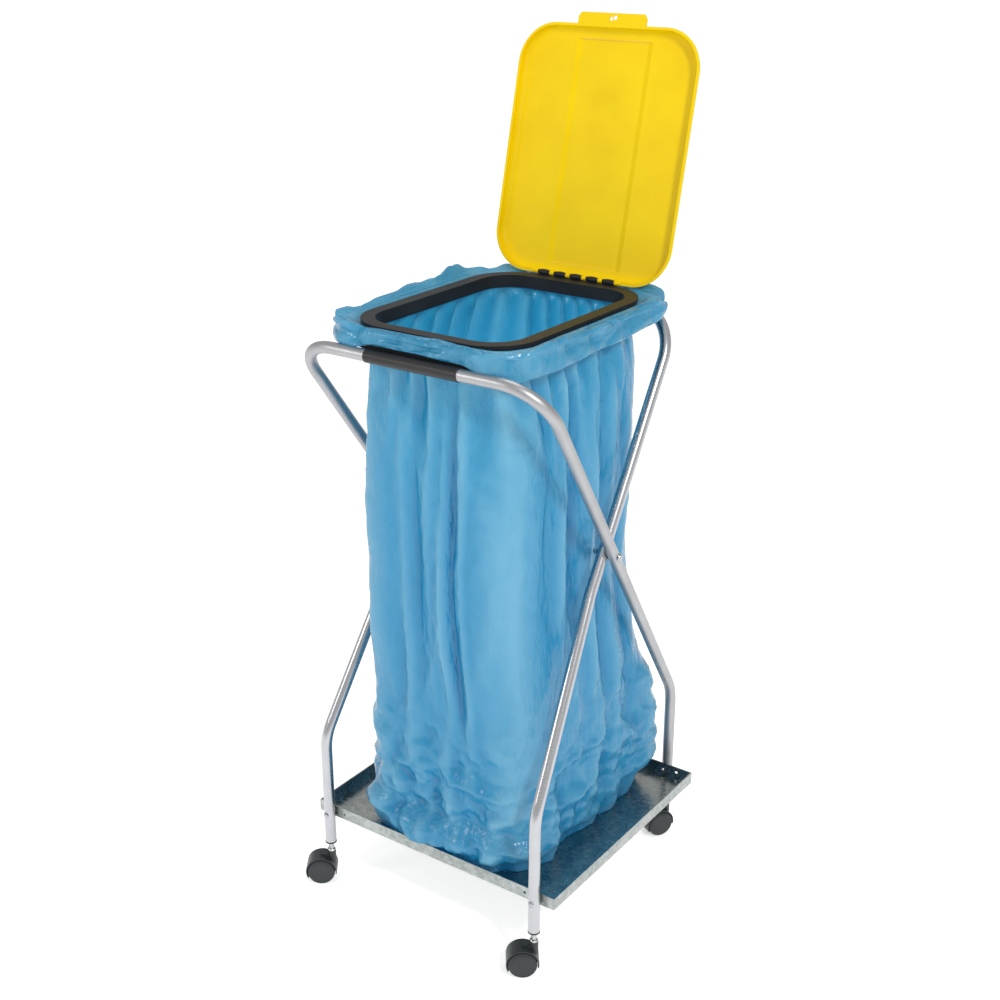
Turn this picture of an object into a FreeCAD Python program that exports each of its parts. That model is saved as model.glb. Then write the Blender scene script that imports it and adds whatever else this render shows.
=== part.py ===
"""Mobile waste-sack stand: two crossed tube frames, a sheet steel tray on four twin-wheel
casters, a sack holder with its clamp ring, a hinged lid and the sack.  Millimetres, +Z up,
+X to the right, -Y towards the push bar.  The origin is on the floor, on the mid-plane
between the legs, under the middle of the stand."""
import FreeCAD, Part
import os
from math import asin, cos, degrees, pi, radians, sin, sqrt, tan

import Sketcher
from FreeCAD import Placement, Rotation, Vector

doc = FreeCAD.newDocument("sack_stand")
sheet = doc.addObject("Spreadsheet::Sheet", "dims")


# ---------------------------------------------------------------- driving dimensions
class Size:
    """A length or angle that knows its number and the sheet expression it comes from."""

    def __init__(self, value, text):
        self.value = float(value)
        self.text = text

    @staticmethod
    def of(other):
        return other if isinstance(other, Size) else Size(other, repr(float(other)))

    def __add__(self, other):
        other = Size.of(other)
        return Size(self.value + other.value, f"({self.text} + {other.text})")

    def __sub__(self, other):
        other = Size.of(other)
        return Size(self.value - other.value, f"({self.text} - {other.text})")

    def __mul__(self, other):
        other = Size.of(other)
        return Size(self.value * other.value, f"({self.text} * {other.text})")

    def __truediv__(self, other):
        other = Size.of(other)
        return Size(self.value / other.value, f"({self.text} / {other.text})")

    def __neg__(self):
        return Size(-self.value, f"(-1 * {self.text})")


DRIVING = [
    # crossed tube frames
    ("tube_od", 20.0), ("tube_wall", 1.5), ("bar_height", 1033.0), ("corner_radius", 75.0),
    ("knee_radius", 90.0), ("tube_end", 83.5),
    ("push_half", 240.0), ("push_front", -271.0), ("rear_foot_half", 198.5),
    ("rear_foot_back", 236.0), ("rear_knee", 310.0),
    ("back_half", 199.0), ("back_bar_back", 197.0), ("back_bar_height", 1050.0),
    ("back_corner_radius", 90.0), ("splay_height", 625.0), ("front_foot_half", 225.0),
    ("front_foot_front", -260.0), ("front_knee", 303.0),
    ("pivot_height", 684.0), ("bolt_dia", 6.0),
    # push bar sleeve
    ("sleeve_wall", 1.2), ("sleeve_length", 180.0),
    # tray
    ("tray_width", 515.0), ("tray_depth", 474.0), ("tray_middle", -12.0), ("tray_top", 153.0),
    ("tray_lip", 22.0), ("tray_sheet", 1.0), ("tray_hem", 8.0), ("tray_bolt_dia", 5.0),
    # clamp ring: its opening, and how far each wall stands outside it
    ("mouth_half", 138.0), ("mouth_front", -227.0), ("mouth_back", 162.0), ("mouth_radius", 57.0),
    ("ring_top", 1075.0), ("ring_flange", 23.0), ("ring_wall", 2.5), ("ring_depth", 22.0),
    # sack holder
    ("collar_gap", 4.5), ("collar_wall", 3.0), ("collar_top", 1069.5), ("collar_foot", 1050.0),
    ("holder_half", 182.0), ("holder_front", -259.0), ("holder_back", 186.0),
    ("holder_radius", 95.0), ("holder_top", 1060.0), ("holder_foot", 1038.0),
    # lid and its hinge
    ("hinge_back", 189.0), ("hinge_height", 1079.5), ("hinge_pin_dia", 3.0), ("lid_open", 103.4),
    ("lid_half", 178.0), ("lid_length", 424.0), ("lid_radius", 70.0), ("lid_wall", 2.2),
    ("lid_height", 24.0), ("lid_panel_half", 67.0), ("lid_panel_rise", 3.0),
    ("knuckle_pitch", 33.0), ("knuckle_length", 28.0), ("knuckle_crown", 5.2),
    ("knuckle_neck", 3.0), ("barrel_radius", 4.0),
    # sack
    ("film", 1.0), ("sack_wall", 2.0), ("cuff_half", 196.0), ("cuff_front", -271.0),
    ("cuff_back", 217.0), ("cuff_foot", 1044.5), ("cuff_top", 1062.0),
    # casters
    ("wheel_radius", 25.0), ("wheel_width", 17.0), ("wheel_gap", 6.0), ("caster_trail", 19.0),
    ("axle_dia", 6.0), ("hood_radius", 28.2), ("hood_wall", 2.0), ("hood_top", 62.0),
    ("stem_dia", 10.0),
]
dim = {}
for row, (alias, number) in enumerate(DRIVING, start=1):
    sheet.set(f"A{row}", alias)
    sheet.set(f"B{row}", repr(number))
    sheet.setAlias(f"B{row}", alias)
    dim[alias] = Size(number, f"dims.{alias}")
doc.recompute()


def num(alias):
    """The number that a driving dimension has now."""
    return dim[alias].value


def bind(thing, prop, size):
    """Binds one property of a document object to the sheet."""
    thing.setExpression(prop, Size.of(size).text)


# ---------------------------------------------------------------- building helpers
XY, XZ, YZ = "XY_Plane", "XZ_Plane", "YZ_Plane"
nodes = []


def node(thing, name, place=None):
    """Names a finished sub-part, and puts it where it belongs."""
    if place is not None:
        thing.Placement = place
    thing.Label = name
    nodes.append(thing)
    return thing


def new_body(name):
    return doc.addObject("PartDesign::Body", name + "_body")


def new_sketch(body, plane, name, lift=None):
    """A sketch on one of the body's own origin planes, lifted along the plane's normal."""
    sk = body.newObject("Sketcher::SketchObject", name)
    origin_plane = [f for f in body.Origin.OriginFeatures if f.Role == plane][0]
    sk.AttachmentSupport = [(origin_plane, "")]
    sk.MapMode = "FlatFace"
    if lift is not None:
        bind(sk, "AttachmentOffset.Base.z", lift)
    return sk


def pin_point(sk, geo, pos, across, up):
    """Holds a point of the sketch at two sizes measured from the sketch's origin."""
    for kind, size in (("DistanceX", across), ("DistanceY", up)):
        size = Size.of(size)
        index = sk.addConstraint(Sketcher.Constraint(kind, -1, 1, geo, pos, size.value))
        if "dims" in size.text:
            sk.setExpression(f"Constraints[{index}]", size.text)


def polygon(sk, points):
    """A closed outline of straight edges through the given points."""
    values = [(Size.of(a), Size.of(b)) for a, b in points]
    first = sk.GeometryCount
    count = len(values)
    for i in range(count):
        a, b = values[i], values[(i + 1) % count]
        start = Vector(a[0].value, a[1].value, 0)
        end = Vector(b[0].value, b[1].value, 0)
        sk.addGeometry(Part.LineSegment(start, end), False)
    for i in range(count):
        follower = first + (i + 1) % count
        sk.addConstraint(Sketcher.Constraint("Coincident", first + i, 2, follower, 1))
        pin_point(sk, first + i, 1, values[i][0], values[i][1])


def circle(sk, radius, across=0.0, up=0.0):
    """A circle held by its centre and its radius."""
    radius, across, up = Size.of(radius), Size.of(across), Size.of(up)
    centre = Vector(across.value, up.value, 0)
    geo = sk.addGeometry(Part.Circle(centre, Vector(0, 0, 1), radius.value), False)
    pin_point(sk, geo, 3, across, up)
    index = sk.addConstraint(Sketcher.Constraint("Radius", geo, radius.value))
    sk.setExpression(f"Constraints[{index}]", radius.text)


def round_rect(sk, half, front, back, radius):
    """A rounded rectangle, symmetric in X, from front to back in Y."""
    half, front, back, radius = [Size.of(s) for s in (half, front, back, radius)]
    w, f, b, r = half.value, front.value, back.value, radius.value
    first = sk.GeometryCount
    z = Vector(0, 0, 1)
    corners = [(w - r, b - r, 0), (-w + r, b - r, 90), (-w + r, f + r, 180), (w - r, f + r, 270)]
    for cx, cy, turn in corners:
        arc_circle = Part.Circle(Vector(cx, cy, 0), z, r)
        sk.addGeometry(Part.ArcOfCircle(arc_circle, radians(turn), radians(turn + 90)), False)
    ends = [((w - r, b), (-w + r, b)), ((-w, b - r), (-w, f + r)),
            ((-w + r, f), (w - r, f)), ((w, f + r), (w, b - r))]
    for start, end in ends:
        sk.addGeometry(Part.LineSegment(Vector(*start, 0), Vector(*end, 0)), False)
    for i in range(4):
        arc, line, next_arc = first + i, first + 4 + i, first + (i + 1) % 4
        sk.addConstraint(Sketcher.Constraint("Tangent", arc, 2, line, 1))
        sk.addConstraint(Sketcher.Constraint("Tangent", line, 2, next_arc, 1))
    sk.addConstraint(Sketcher.Constraint("Horizontal", first + 4))
    sk.addConstraint(Sketcher.Constraint("Vertical", first + 5))
    for i in range(1, 4):
        sk.addConstraint(Sketcher.Constraint("Equal", first, first + i))
    index = sk.addConstraint(Sketcher.Constraint("Radius", first, r))
    sk.setExpression(f"Constraints[{index}]", radius.text)
    sides = [("DistanceY", first + 4, back), ("DistanceX", first + 5, -half),
             ("DistanceY", first + 6, front), ("DistanceX", first + 7, half)]
    for kind, geo, size in sides:
        index = sk.addConstraint(Sketcher.Constraint(kind, -1, 1, geo, 1, size.value))
        sk.setExpression(f"Constraints[{index}]", size.text)


def pad(body, sk, length, name, reverse=False, through=False):
    """Adds the sketch's area to the body, or both ways from its plane when through is set."""
    feature = body.newObject("PartDesign::Pad", name)
    feature.Profile = sk
    bind(feature, "Length", length)
    feature.Reversed = reverse
    feature.Midplane = through
    return feature


def pocket(body, sk, length, name, reverse=False, through=False):
    """Cuts the sketch's area out of the body and makes sure that something was removed."""
    before = body.Shape.Volume
    feature = body.newObject("PartDesign::Pocket", name)
    feature.Profile = sk
    bind(feature, "Length", length)
    feature.Reversed = reverse
    feature.Midplane = through
    doc.recompute()
    if not body.Shape.Volume < before - 0.01:
        raise RuntimeError(f"{name} cuts nothing")
    return feature


def revolve(body, sk, name, axis="V_Axis"):
    feature = body.newObject("PartDesign::Revolution", name)
    feature.Profile = sk
    feature.ReferenceAxis = (sk, [axis])
    feature.Angle = 360.0
    return feature


def turned(name, profile, bore=None):
    """A turned piece about its own Z axis, from (radius, height) points and an optional bore."""
    body = new_body(name)
    sk = new_sketch(body, XZ, name + "_profile")
    polygon(sk, profile)
    revolve(body, sk, name + "_turn")
    doc.recompute()
    if bore is not None:
        radius, depth = bore
        hole = new_sketch(body, XY, name + "_bore_sketch")
        circle(hole, radius)
        pocket(body, hole, depth, name + "_bore", through=True)
    return body


def plate_ring(name, outer, inner, low, high):
    """A flat ring between two rounded rectangles, from one height to another."""
    body = new_body(name)
    low, high = Size.of(low), Size.of(high)
    sk = new_sketch(body, XY, name + "_plan", low)
    round_rect(sk, *outer)
    round_rect(sk, *inner)
    pad(body, sk, high - low, name + "_pad")
    return body


def joined(name, parts):
    fuse = doc.addObject("Part::MultiFuse", name)
    fuse.Shapes = parts
    return fuse


def without(name, base, tool):
    cut = doc.addObject("Part::Cut", name)
    cut.Base = base
    cut.Tool = tool
    return cut


def rod(name, radius, length, place):
    """A plain cylinder whose start and direction come from its placement."""
    cyl = doc.addObject("Part::Cylinder", name)
    bind(cyl, "Radius", radius)
    bind(cyl, "Height", length)
    cyl.Placement = place
    return cyl


def along(direction, base):
    """A placement that turns local Z into the given direction."""
    return Placement(Vector(*base), Rotation(Vector(0, 0, 1), Vector(*direction)))


# ---------------------------------------------------------------- tube frames
def rounded_path(points, radii):
    """Straight runs joined by tangent arcs, one radius for each inner point."""
    pts = [Vector(*p) for p in points]
    edges = []
    start = pts[0]
    for i in range(1, len(pts) - 1):
        back = (pts[i - 1] - pts[i]).normalize()
        ahead = (pts[i + 1] - pts[i]).normalize()
        half_turn = (pi - back.getAngle(ahead)) / 2
        reach = radii[i - 1] * tan(half_turn)
        enter = pts[i] + back * reach
        leave = pts[i] + ahead * reach
        bisector = (back + ahead).normalize()
        middle = pts[i] + bisector * (radii[i - 1] / cos(half_turn) - radii[i - 1])
        edges.append(Part.LineSegment(start, enter).toShape())
        edges.append(Part.Arc(enter, middle, leave).toShape())
        start = leave
    edges.append(Part.LineSegment(start, pts[-1]).toShape())
    return Part.Wire(edges)


def mirrored_route(half_route):
    """The whole route of a frame from its right half, foot first and bar last."""
    left = [(-x, y, z) for x, y, z in half_route]
    return half_route + left[::-1]


def swept_tube(name, points, radii, holes):
    """A round tube along the route, hollow, with cross holes through it."""
    spine = doc.addObject("Part::Feature", name + "_spine")
    spine.Shape = rounded_path(points, radii)
    start = Vector(*points[0])
    heading = Vector(*points[1]) - start
    solids = []
    for kind, radius in (("outer", dim["tube_od"] / 2),
                         ("inner", dim["tube_od"] / 2 - dim["tube_wall"])):
        section = doc.addObject("Part::Circle", f"{name}_{kind}_section")
        bind(section, "Radius", radius)
        section.Placement = along(heading, start)
        sweep = doc.addObject("Part::Sweep", f"{name}_{kind}")
        sweep.Sections = [section]
        sweep.Spine = (spine, [f"Edge{i + 1}" for i in range(len(spine.Shape.Edges))])
        sweep.Solid = True
        sweep.Frenet = False
        sweep.Transition = 1
        solids.append(sweep)
    tube = without(name + "_hollow", *solids)
    drills = [rod(f"{name}_drill_{i}", r, length, along(d, base))
              for i, (r, length, base, d) in enumerate(holes)]
    return without(name + "_tube", tube, joined(name + "_drills", drills))


tube_r = num("tube_od") / 2
bolt_r = dim["bolt_dia"] / 2
hole_slack = 0.25
rear_run = num("bar_height") - num("rear_knee")
pivot_back = (num("push_front") + (num("bar_height") - num("pivot_height"))
              * (num("rear_foot_back") - num("push_front")) / rear_run)
push_pivot_half = (num("push_half") - (num("bar_height") - num("pivot_height"))
                   * (num("push_half") - num("rear_foot_half")) / rear_run)
front_slope = ((num("back_bar_back") - num("front_foot_front"))
               / (num("back_bar_height") - num("front_knee")))
splay_back = num("back_bar_back") - (num("back_bar_height") - num("splay_height")) * front_slope
tray_mid_lip = num("tray_top") - num("tray_lip") / 2

push_route = [(num("rear_foot_half"), num("rear_foot_back"), num("tube_end")),
              (num("rear_foot_half"), num("rear_foot_back"), num("rear_knee")),
              (num("push_half"), num("push_front"), num("bar_height"))]
back_route = [(num("front_foot_half"), num("front_foot_front"), num("tube_end")),
              (num("front_foot_half"), num("front_foot_front"), num("front_knee")),
              (num("back_half"), splay_back, num("splay_height")),
              (num("back_half"), num("back_bar_back"), num("back_bar_height"))]
corner, knee = num("corner_radius"), num("knee_radius")
back_corner = num("back_corner_radius")
splay_radius = 250.0
cross = (bolt_r + hole_slack, 2 * num("push_half") + 40,
         (-num("push_half") - 20, pivot_back, num("pivot_height")), (1, 0, 0))


def foot_drills(half, back):
    """Two holes along Y, one through each foot, at the middle of the tray's lip."""
    radius = dim["tray_bolt_dia"] / 2 + hole_slack
    return [(radius, 40, (side * half, back - 20, tray_mid_lip), (0, 1, 0)) for side in (-1, 1)]


push_frame = swept_tube("push_frame", mirrored_route(push_route), [knee, corner, corner, knee],
                        [cross] + foot_drills(num("rear_foot_half"), num("rear_foot_back")))
node(push_frame, "push_frame")
back_frame = swept_tube("back_frame", mirrored_route(back_route),
                        [knee, splay_radius, back_corner, back_corner, splay_radius, knee],
                        [cross] + foot_drills(num("front_foot_half"), num("front_foot_front")))
node(back_frame, "back_frame")


# ---------------------------------------------------------------- pivot hardware
def both_sides(name, maker, places):
    """One shape made once for each place and kept together as separate solids."""
    copies = []
    for i, place in enumerate(places):
        piece = maker(f"{name}_{i}")
        piece.Placement = place
        copies.append(piece)
    group = doc.addObject("Part::Compound", name + "_set")
    group.Links = copies
    return node(group, name)


def round_bolt(name, shank_dia, length, head_dia, head_height):
    """A mushroom-head bolt: its shank runs down from Z = 0, with the head above."""
    shank = shank_dia / 2
    body = new_body(name)
    sk = new_sketch(body, XZ, name + "_profile")
    polygon(sk, [(0, -length), (shank - 0.5, -length), (shank, -length + 0.5), (shank, 0),
                 (head_dia / 2, 0), (head_dia / 2, head_height * 0.35),
                 (head_dia / 2 * 0.82, head_height * 0.75), (head_dia / 2 * 0.5, head_height),
                 (0, head_height)])
    revolve(body, sk, name + "_turn")
    return body


def hex_nut(name, across_flats, height, bore_radius, dome):
    """A hexagon nut with its seat at Z = 0; a dome closes it when asked for."""
    body = new_body(name)
    sk = new_sketch(body, XY, name + "_plan")
    corner_r = across_flats / 2 / cos(radians(30))
    polygon(sk, [(corner_r * cos(radians(60 * i)), corner_r * sin(radians(60 * i)))
                 for i in range(6)])
    pad(body, sk, height, name + "_pad")
    if dome:
        cap = new_sketch(body, XZ, name + "_cap")
        cap_r = across_flats / 2 - 0.4
        polygon(cap, [(0, height - 0.5), (cap_r, height - 0.5), (cap_r * 0.92, height + 1.6),
                      (cap_r * 0.62, height + 3.2), (0, height + 3.8)])
        revolve(body, cap, name + "_dome")
    doc.recompute()
    hole = new_sketch(body, XY, name + "_thread")
    circle(hole, bore_radius)
    pocket(body, hole, height * (1.6 if dome else 2.4), name + "_hole", through=True)
    return body


back_pivot_half = num("back_half")
between = push_pivot_half - back_pivot_half - 2 * tube_r
outside = push_pivot_half + tube_r
inside = back_pivot_half - tube_r
bolt_reach = outside - inside
slant_room = 0.4
pivot_places = {-1: (-1, 0, 0), 1: (1, 0, 0)}
both_sides("pivot_bolts",
           lambda name: round_bolt(name, num("bolt_dia"), bolt_reach + 5.0 + slant_room, 13.0, 4.0),
           [along(d, (side * (outside + slant_room), pivot_back, num("pivot_height")))
            for side, d in pivot_places.items()])
both_sides("pivot_nuts", lambda name: hex_nut(name, 10.0, 5.0, num("bolt_dia") / 2, True),
           [along((-side, 0, 0), (side * inside, pivot_back, num("pivot_height")))
            for side in pivot_places])


def washer(name):
    thick = between - slant_room
    return turned(name, [(num("bolt_dia") / 2 + 0.2, 0), (8.0, 0), (8.0, thick),
                         (num("bolt_dia") / 2 + 0.2, thick)])


both_sides("pivot_washers", washer,
           [along(d, (side * (back_pivot_half + tube_r), pivot_back, num("pivot_height")))
            for side, d in pivot_places.items()])

# ---------------------------------------------------------------- tray
tray_half = dim["tray_width"] / 2
tray_front = dim["tray_middle"] - dim["tray_depth"] / 2
tray_back = dim["tray_middle"] + dim["tray_depth"] / 2
tray_floor = dim["tray_top"] - dim["tray_lip"]
tray_body = new_body("tray")


def tray_rectangle(name, lift, inset):
    sk = new_sketch(tray_body, XY, name, lift)
    polygon(sk, [(-tray_half + inset, tray_front + inset), (tray_half - inset, tray_front + inset),
                 (tray_half - inset, tray_back - inset), (-tray_half + inset, tray_back - inset)])
    return sk


pad(tray_body, tray_rectangle("tray_outline", tray_floor, 0), dim["tray_lip"], "tray_block")
doc.recompute()
hem_inset = dim["tray_sheet"] * 2.2
pocket(tray_body, tray_rectangle("tray_hem_outline", dim["tray_top"], hem_inset),
       dim["tray_lip"] - dim["tray_sheet"], "tray_well")
under_hem = dim["tray_lip"] - dim["tray_sheet"] - dim["tray_hem"]
pocket(tray_body, tray_rectangle("tray_wall_outline", tray_floor + dim["tray_sheet"],
                                 dim["tray_sheet"]),
       under_hem, "tray_under_hem", reverse=True)
bolt_holes = new_sketch(tray_body, XZ, "tray_bolt_holes")
for foot in ("rear_foot_half", "front_foot_half"):
    for side in (-1, 1):
        circle(bolt_holes, dim["tray_bolt_dia"] / 2 + 0.25, dim[foot] * side, tray_mid_lip)
pocket(tray_body, bolt_holes, dim["tray_depth"] * 1.2, "tray_bolt_cut", through=True)
node(tray_body, "tray")

foot_bolts = []
foot_nuts = []
for foot, back, toward, lip in (("rear_foot_half", num("rear_foot_back"), 1, tray_back),
                                ("front_foot_half", num("front_foot_front"), -1, tray_front)):
    lip_face = lip.value - toward * hem_inset.value
    for side in (-1, 1):
        foot_bolts.append(along((0, toward, 0),
                                (side * num(foot), back + toward * tube_r, tray_mid_lip)))
        foot_nuts.append(along((0, -toward, 0), (side * num(foot), lip_face, tray_mid_lip)))
tray_reach = num("rear_foot_back") + tube_r - tray_back.value + hem_inset.value + 6.0
both_sides("tray_bolts",
           lambda name: round_bolt(name, num("tray_bolt_dia"), tray_reach, 10.5, 3.2), foot_bolts)
both_sides("tray_nuts", lambda name: hex_nut(name, 8.0, 4.0, num("tray_bolt_dia") / 2, True),
           foot_nuts)

# ---------------------------------------------------------------- push bar sleeve
sleeve_r = dim["tube_od"] / 2 + dim["sleeve_wall"]
sleeve_half = dim["sleeve_length"] / 2
sleeve_body = new_body("sleeve")
sleeve_profile = new_sketch(sleeve_body, XZ, "sleeve_profile")
polygon(sleeve_profile, [(dim["tube_od"] / 2, -sleeve_half), (sleeve_r - 0.6, -sleeve_half),
                         (sleeve_r, -sleeve_half + 0.8), (sleeve_r, sleeve_half - 0.8),
                         (sleeve_r - 0.6, sleeve_half), (dim["tube_od"] / 2, sleeve_half)])
revolve(sleeve_body, sleeve_profile, "sleeve_turn")
sleeve_body.Placement = along((1, 0, 0), (0, num("push_front"), num("bar_height")))
tongue_half = 70.0
tongue_sheet = 3.0
skirt_inner = num("holder_front") + 3.0
tongue_body = new_body("tongue")
tongue_profile = new_sketch(tongue_body, YZ, "tongue_profile")
tongue_start = num("push_front") + tube_r + 0.2
polygon(tongue_profile, [(tongue_start, 1031.5), (skirt_inner + tongue_sheet, 1031.5),
                         (skirt_inner + tongue_sheet, 1054.0), (skirt_inner, 1054.0),
                         (skirt_inner, 1034.5), (tongue_start, 1034.5)])
pad(tongue_body, tongue_profile, 2 * tongue_half, "tongue_pad", through=True)
screw_half, screw_height, screw_dia = 50.0, 1048.0, 4.0
tongue_holes = new_sketch(tongue_body, XZ, "tongue_holes")
for side in (-1, 1):
    circle(tongue_holes, screw_dia / 2 + 0.1, side * screw_half, screw_height)
doc.recompute()
pocket(tongue_body, tongue_holes, 1000.0, "tongue_drill", through=True)
node(joined("push_bar_sleeve_shape", [sleeve_body, tongue_body]), "push_bar_sleeve")

# ---------------------------------------------------------------- sack holder
mouth = (dim["mouth_half"], dim["mouth_front"], dim["mouth_back"], dim["mouth_radius"])


def around(shape, gap):
    """A rounded rectangle that stands outside another one by a gap."""
    half, front, back, radius = shape
    return (half + gap, front - gap, back + gap, radius + gap)


collar_in = around(mouth, dim["collar_gap"])
collar_out = around(collar_in, dim["collar_wall"])
holder_plan = (dim["holder_half"], dim["holder_front"], dim["holder_back"], dim["holder_radius"])
skirt_wall = 3.0
holder_floor = dim["holder_top"] - skirt_wall
holder_parts = [
    plate_ring("collar", collar_out, collar_in, dim["collar_foot"], dim["collar_top"]),
    plate_ring("holder_flange", around(holder_plan, -0.5), around(collar_in, 1.0),
               holder_floor, dim["holder_top"]),
    plate_ring("holder_skirt", holder_plan, around(holder_plan, -skirt_wall),
               dim["holder_foot"], dim["holder_top"]),
]
rib_sheet = 2.0
into_collar = num("collar_gap") + 1.0
rib_spots = [(x, num("mouth_back") + into_collar, num("holder_back") - 2.0, False)
             for x in (-40, 0, 40)]
rib_spots += [(x, num("holder_front") + 2.0, num("mouth_front") - into_collar, False)
              for x in (-90, 90)]
rib_spots += [(y, num("mouth_half") + into_collar, num("holder_half") - 2.0, True)
              for y in (-130, -32, 66)]
for i, (place, low, high, sideways) in enumerate(rib_spots):
    for side in ((-1, 1) if sideways else (1,)):
        rib = doc.addObject("Part::Box", f"holder_rib_{i}_{'a' if side > 0 else 'b'}")
        bind(rib, "Height", dim["holder_top"] - dim["collar_foot"])
        foot = num("collar_foot")
        if sideways:
            rib.Length, rib.Width = high - low, rib_sheet
            start = low if side > 0 else -high
            rib.Placement.Base = Vector(start, place - rib_sheet / 2, foot)
        else:
            rib.Length, rib.Width = rib_sheet, high - low
            rib.Placement.Base = Vector(place - rib_sheet / 2, low, foot)
        holder_parts.append(rib)
holder_block = joined("holder_block", holder_parts)
clip_half, clip_width = 76.0, 16.0
drill_starts = [(side * screw_half, num("holder_front") - 5.0) for side in (-1, 1)]
drill_starts += [(side * clip_half, num("holder_back") - 5.0) for side in (-1, 1)]
holder_drills = [rod(f"holder_drill_{i}", screw_dia / 2 + 0.1, 10.0,
                     along((0, 1, 0), (across, start, screw_height)))
                 for i, (across, start) in enumerate(drill_starts)]
node(without("sack_holder_shape", holder_block, joined("holder_drills", holder_drills)),
     "sack_holder")
back_ear = num("holder_back") - skirt_wall


def back_clip(name):
    """A hook under and behind the back bar, with an ear inside the holder's skirt."""
    body = new_body(name)
    sk = new_sketch(body, YZ, name + "_profile")
    bar_back, bar_up = num("back_bar_back"), num("back_bar_height")
    under = num("holder_foot") - 0.4
    polygon(sk, [(back_ear - tongue_sheet, under - 3.1), (bar_back + 9.0, under - 3.1),
                 (bar_back + 13.0, under + 1.4), (bar_back + 13.0, bar_up), (bar_back, bar_up),
                 (bar_back - 7.0, under), (back_ear, under), (back_ear, 1054.0),
                 (back_ear - tongue_sheet, 1054.0)])
    pad(body, sk, clip_width, name + "_hook", through=True)
    doc.recompute()
    bar = new_sketch(body, YZ, name + "_bar_hole")
    circle(bar, dim["tube_od"] / 2, dim["back_bar_back"], dim["back_bar_height"])
    pocket(body, bar, clip_width * 1.5, name + "_bar_cut", through=True)
    screw_hole = new_sketch(body, XZ, name + "_screw_sketch", 5.0 - back_ear)
    circle(screw_hole, screw_dia / 2 + 0.1, 0.0, screw_height)
    pocket(body, screw_hole, 10.0, name + "_screw_hole", through=True)
    return body


both_sides("back_bar_clips", back_clip,
           [Placement(Vector(side * clip_half, 0, 0), Rotation()) for side in (-1, 1)])
screw_places = [along((0, 1, 0), (side * screw_half, skirt_inner + tongue_sheet, screw_height))
                for side in (-1, 1)]
screw_places += [along((0, -1, 0), (side * clip_half, back_ear - tongue_sheet, screw_height))
                 for side in (-1, 1)]
both_sides("holder_screws", lambda name: round_bolt(name, screw_dia, 5.6, 7.0, 2.0),
           screw_places)

# ---------------------------------------------------------------- clamp ring
ring_sheet = 3.0
wall_foot = dim["ring_top"] - dim["ring_depth"]
flange_plan = around(mouth, dim["ring_flange"])
ring_parts = [
    plate_ring("ring_flange_plate", flange_plan, mouth, dim["ring_top"] - ring_sheet,
               dim["ring_top"]),
    plate_ring("ring_wall_band", around(mouth, dim["ring_wall"]), mouth, wall_foot,
               dim["ring_top"] - 1.0),
    plate_ring("ring_edge", flange_plan, around(flange_plan, -2.4), dim["ring_top"] - 6.0,
               dim["ring_top"] - 1.0),
]
knuckle_count = 5
knuckle_spots = [(i - (knuckle_count - 1) / 2) * num("knuckle_pitch")
                 for i in range(knuckle_count)]
hinge_half = 2 * num("knuckle_pitch") + num("knuckle_length") / 2
leaf = doc.addObject("Part::Box", "hinge_leaf")
leaf.Length, leaf.Width = 2 * hinge_half, 16.0
bind(leaf, "Height", ring_sheet)
leaf.Placement.Base = Vector(-hinge_half, num("hinge_back") - 12.0, num("ring_top") - ring_sheet)
ring_parts.append(leaf)


def knuckle(name, spot, grow):
    """A crowned barrel about the hinge line, swollen by a clearance when it is a cutter."""
    length = num("knuckle_length") / 2 + grow
    neck, crown = num("knuckle_neck") + grow, num("knuckle_crown") + grow
    steps = 8
    profile = [(0, -length)]
    for i in range(steps + 1):
        reach = -1 + 2 * i / steps
        profile.append((neck + (crown - neck) * cos(reach * pi / 2), reach * length))
    profile.append((0, length))
    barrel = turned(name, profile)
    barrel.Placement = along((1, 0, 0), (spot, num("hinge_back"), num("hinge_height")))
    return barrel


def hinge_bore(name, radius, length):
    return rod(name, radius, length,
               along((1, 0, 0), (-length / 2, num("hinge_back"), num("hinge_height"))))


ring_parts += [knuckle(f"ring_knuckle_{i}", spot, 0.0) for i, spot in enumerate(knuckle_spots)]
foot_block = 5.0
for i, spot in enumerate(knuckle_spots):
    web = doc.addObject("Part::Box", f"knuckle_web_{i}")
    web.Length, web.Width, web.Height = num("knuckle_length") * 0.7, foot_block, 4.4
    web.Placement.Base = Vector(spot - num("knuckle_length") * 0.35,
                                num("hinge_back") - foot_block / 2, num("ring_top") - 2.0)
    ring_parts.append(web)
ring_block = joined("ring_block", ring_parts)
pin_clearance = 0.05
node(without("clamp_ring_shape", ring_block,
             hinge_bore("ring_pin_bore", dim["hinge_pin_dia"] / 2, 2 * hinge_half + 20)),
     "clamp_ring")

lug_reach = hinge_half + 10.0
pin_body = turned("pin", [(0, -lug_reach), (dim["hinge_pin_dia"] / 2, -lug_reach),
                          (dim["hinge_pin_dia"] / 2, lug_reach), (0, lug_reach)])
node(pin_body, "hinge_pin", along((1, 0, 0), (0, num("hinge_back"), num("hinge_height"))))

# ---------------------------------------------------------------- lid
rim_low = -3.0
shoulder_radius = 17.0
panel_slope = 10.0
rim_back = 2.5
lip_width = 2.5


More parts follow.
